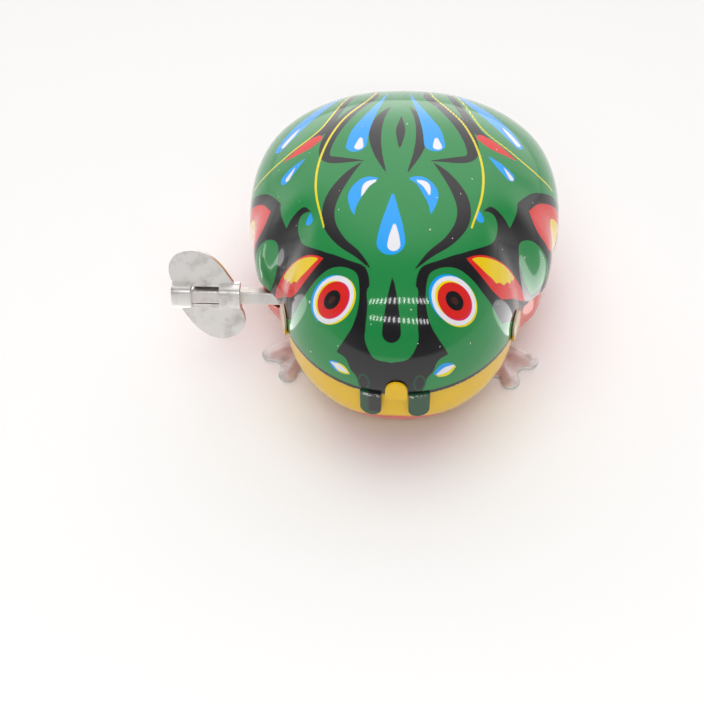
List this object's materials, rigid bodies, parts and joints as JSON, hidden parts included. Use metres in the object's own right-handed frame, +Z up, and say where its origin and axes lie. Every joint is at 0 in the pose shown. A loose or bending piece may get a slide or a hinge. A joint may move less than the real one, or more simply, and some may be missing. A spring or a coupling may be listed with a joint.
{
  "type": "wind up tin toy",
  "caption": "Clockwork hopping frog of printed tinplate, with a side winding key, a geared spring movement and kicking hind legs.",
  "frame": {"origin": "on the surface that the frog stands on, in its plane of symmetry, under the centre of the seam between back and belly", "axes": "+Z up, the frog looks along -Y, the winding key sticks out towards -X"},
  "size_m": [0.0661, 0.0685, 0.0366],
  "materials": {
    "printed_tin_back": "lithographed tinplate, glossy varnish, green with many colours",
    "printed_tin_belly": "lithographed tinplate, glossy varnish, yellow",
    "bright_steel": "bright plated steel, fine rolling lines",
    "plate_steel": "bare rolled tinplate",
    "spring_steel": "blued tempered spring strip, oiled",
    "turned_steel": "turned mild steel",
    "stamped_brass": "stamped brass, dull",
    "leg_steel": "bright tinplate, stamped"
  },
  "bodies": {
    "root": {"back_shell": "printed_tin_back", "belly_shell": "printed_tin_belly", "left_plate": "plate_steel", "right_plate": "plate_steel", "spring_post": "turned_steel", "top_pillar": "turned_steel", "rear_pillar": "turned_steel", "front_pillar": "turned_steel", "front_legs": "leg_steel", "front_leg_rivets": "turned_steel", "leg_pin": "turned_steel", "mainspring": "spring_steel"},
    "great_wheel": {"great_wheel": "stamped_brass", "click": "turned_steel", "click_rivet": "turned_steel", "click_spring": "spring_steel"},
    "winding": {"winding_arbor": "turned_steel", "ratchet_wheel": "turned_steel", "wing_key": "bright_steel"},
    "second": {"second_arbor": "turned_steel", "second_pinion": "turned_steel", "second_wheel": "stamped_brass"},
    "cam": {"cam_arbor": "turned_steel", "cam_pinion": "turned_steel", "kick_cam": "turned_steel"},
    "hind_legs": {"hind_legs": "leg_steel", "kick_leaf": "spring_steel", "leaf_rivet": "turned_steel", "leg_return_spring": "spring_steel"}
  },
  "joints": [
    {"name": "drive_turn", "type": "hinge", "parent": "root", "child": "great_wheel", "pos_m": [0, -0.011, 0.014], "axis": [1, 0, 0], "continuous": true},
    {"name": "winding_turn", "type": "hinge", "parent": "great_wheel", "child": "winding", "pos_m": [0, -0.011, 0.014], "axis": [-1, 0, 0], "range_deg": [0, 1890], "deforming": ["mainspring"]},
    {"name": "second_turn", "type": "hinge", "parent": "root", "child": "second", "pos_m": [0, -0.00147, 0.0195], "axis": [1, 0, 0], "continuous": true},
    {"name": "cam_turn", "type": "hinge", "parent": "root", "child": "cam", "pos_m": [0, 0.00819, 0.01691], "axis": [1, 0, 0], "continuous": true, "deforming": ["kick_leaf"]},
    {"name": "leg_kick", "type": "hinge", "parent": "root", "child": "hind_legs", "pos_m": [0, 0.0145, 0.0085], "axis": [-1, 0, 0], "range_deg": [0, 20], "stiffness_Nm_per_rad": 0.01, "springref_deg": -11.46, "deforming": ["leg_return_spring"]}
  ],
  "couplings": [
    {"joint": "second_turn", "follows": "drive_turn", "ratio": -3.4},
    {"joint": "cam_turn", "follows": "drive_turn", "ratio": 10.2}
  ]
}
